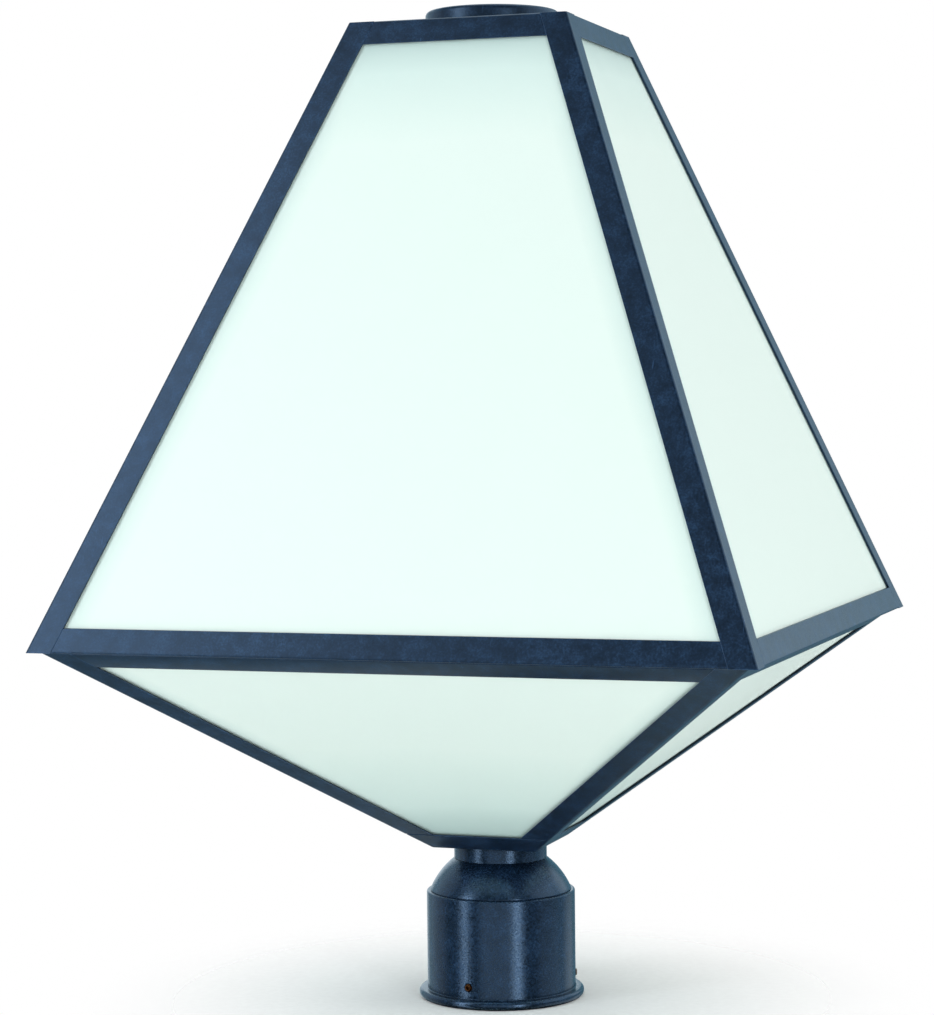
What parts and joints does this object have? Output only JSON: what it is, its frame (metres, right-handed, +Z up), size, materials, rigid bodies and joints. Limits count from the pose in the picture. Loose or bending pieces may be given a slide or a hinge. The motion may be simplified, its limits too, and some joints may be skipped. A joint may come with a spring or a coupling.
{
  "type": "post top lantern",
  "caption": "Square post top lantern: a tapering steel cage with opal panes over a shallow bowl of the same, with a low round cap and a post fitter with set screws.",
  "frame": {"origin": "centre of the fitter's foot, on the plane it stands on", "axes": "+Z up along the post's axis, -Y towards the front pane"},
  "size_m": [0.38, 0.38, 0.5414],
  "materials": {
    "painted_steel": "dark blue-black forged paint, satin, finely mottled",
    "painted_casting": "the same paint on the cast fitter",
    "opal_glass": "white opal glass, satin inside",
    "spring_steel": "bright spring steel",
    "zinc_plate": "zinc plated",
    "brass": "pressed brass",
    "screw_brass": "dulled brass",
    "porcelain": "white glaze",
    "lamp_glass": "clear",
    "gasket_rubber": "matt"
  },
  "bodies": {
    "base": {"bowl_corner_front_left": "painted_steel", "bowl_corner_front_right": "painted_steel", "bowl_corner_back_right": "painted_steel", "bowl_corner_back_left": "painted_steel", "bowl_waist_rail_front": "painted_steel", "bowl_waist_rail_right": "painted_steel", "bowl_waist_rail_back": "painted_steel", "bowl_waist_rail_left": "painted_steel", "bowl_base_ring": "painted_steel", "lower_pane_front": "opal_glass", "lower_pane_right": "opal_glass", "lower_pane_back": "opal_glass", "lower_pane_left": "opal_glass", "lower_pane_clips": "spring_steel", "post_fitter": "painted_casting", "shoulder_dome": "painted_casting", "neck_collar": "painted_casting", "base_plate": "zinc_plate", "nipple": "zinc_plate", "nipple_nuts": "zinc_plate", "lamp_bracket": "zinc_plate", "rod_yoke": "zinc_plate", "center_rod": "zinc_plate", "lampholder_1": "porcelain", "screw_shell_1": "brass", "lampholder_2": "porcelain", "screw_shell_2": "brass", "lampholder_3": "porcelain", "screw_shell_3": "brass"},
    "cage": {"cage_corner_front_left": "painted_steel", "cage_corner_front_right": "painted_steel", "cage_corner_back_right": "painted_steel", "cage_corner_back_left": "painted_steel", "cage_top_rail_front": "painted_steel", "cage_top_rail_right": "painted_steel", "cage_top_rail_back": "painted_steel", "cage_top_rail_left": "painted_steel", "cage_waist_rail_front": "painted_steel", "cage_waist_rail_right": "painted_steel", "cage_waist_rail_back": "painted_steel", "cage_waist_rail_left": "painted_steel", "upper_pane_front": "opal_glass", "upper_pane_right": "opal_glass", "upper_pane_back": "opal_glass", "upper_pane_left": "opal_glass", "top_plate": "painted_steel", "upper_pane_clips": "spring_steel"},
    "cap": {"cap": "painted_steel", "cap_gasket": "gasket_rubber"},
    "cap_nut": {"cap_nut": "painted_steel"},
    "lamp_1": {"lamp_base_1": "brass", "lamp_glass_1": "lamp_glass"},
    "set_screw_1": {"set_screw_1": "screw_brass"},
    "lamp_2": {"lamp_base_2": "brass", "lamp_glass_2": "lamp_glass"},
    "set_screw_2": {"set_screw_2": "screw_brass"},
    "lamp_3": {"lamp_base_3": "brass", "lamp_glass_3": "lamp_glass"},
    "set_screw_3": {"set_screw_3": "screw_brass"}
  },
  "joints": [
    {"name": "cage_lift", "type": "slide", "parent": "base", "child": "cage", "axis": [0, 0, 1], "range_m": [0, 0.345]},
    {"name": "cap_lift", "type": "slide", "parent": "cage", "child": "cap", "axis": [0, 0, 1], "range_m": [0, 0.05]},
    {"name": "cap_nut_turn", "type": "hinge", "parent": "cap", "child": "cap_nut", "pos_m": [0, 0, 0.54], "axis": [0, 0, 1], "continuous": true},
    {"name": "lamp_1_lift", "type": "slide", "parent": "base", "child": "lamp_1", "axis": [0, 0, 1], "range_m": [0, 0.045]},
    {"name": "lamp_2_lift", "type": "slide", "parent": "base", "child": "lamp_2", "axis": [0, 0, 1], "range_m": [0, 0.045]},
    {"name": "lamp_3_lift", "type": "slide", "parent": "base", "child": "lamp_3", "axis": [0, 0, 1], "range_m": [0, 0.045]},
    {"name": "set_screw_1_drive", "type": "slide", "parent": "base", "child": "set_screw_1", "axis": [0.1392, 0.9903, 0], "range_m": [0, 0.0015]},
    {"name": "set_screw_2_drive", "type": "slide", "parent": "base", "child": "set_screw_2", "axis": [-0.9272, -0.3746, 0], "range_m": [0, 0.0015]},
    {"name": "set_screw_3_drive", "type": "slide", "parent": "base", "child": "set_screw_3", "axis": [0.788, -0.6157, 0], "range_m": [0, 0.0015]}
  ]
}
